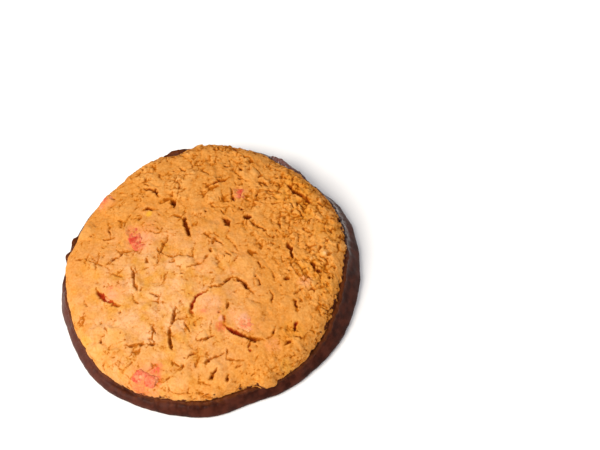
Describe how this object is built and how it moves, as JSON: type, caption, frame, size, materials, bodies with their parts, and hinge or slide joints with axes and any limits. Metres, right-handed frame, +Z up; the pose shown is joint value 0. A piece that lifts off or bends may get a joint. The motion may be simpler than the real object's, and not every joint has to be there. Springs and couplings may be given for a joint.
{
  "type": "cherry cookie",
  "caption": "Round crackled sugar cookie with candied cherry bits in its top, dipped in a shallow cup of dark chocolate.",
  "frame": {"origin": "middle of the cookie's bounding box at its underside, on the surface it rests on", "axes": "+Z up through the crust; +X and +Y lie in the plane of the cookie, with the edge where the chocolate climbs highest towards +X"},
  "size_m": [0.069, 0.07, 0.0107],
  "materials": {
    "baked_dough": "baked golden sugar dough, dry, matt and crackled",
    "dark_chocolate": "set dark chocolate, satin, smooth with faint ripples",
    "candied_cherry": "sugared red fruit, moist and slightly translucent"
  },
  "bodies": {
    "root": {"biscuit": "baked_dough", "chocolate_base": "dark_chocolate", "cherry_bit_1": "candied_cherry", "cherry_bit_2": "candied_cherry", "cherry_bit_3": "candied_cherry", "cherry_bit_4": "candied_cherry", "cherry_bit_5": "candied_cherry", "cherry_bit_6": "candied_cherry", "cherry_bit_7": "candied_cherry"}
  },
  "joints": []
}
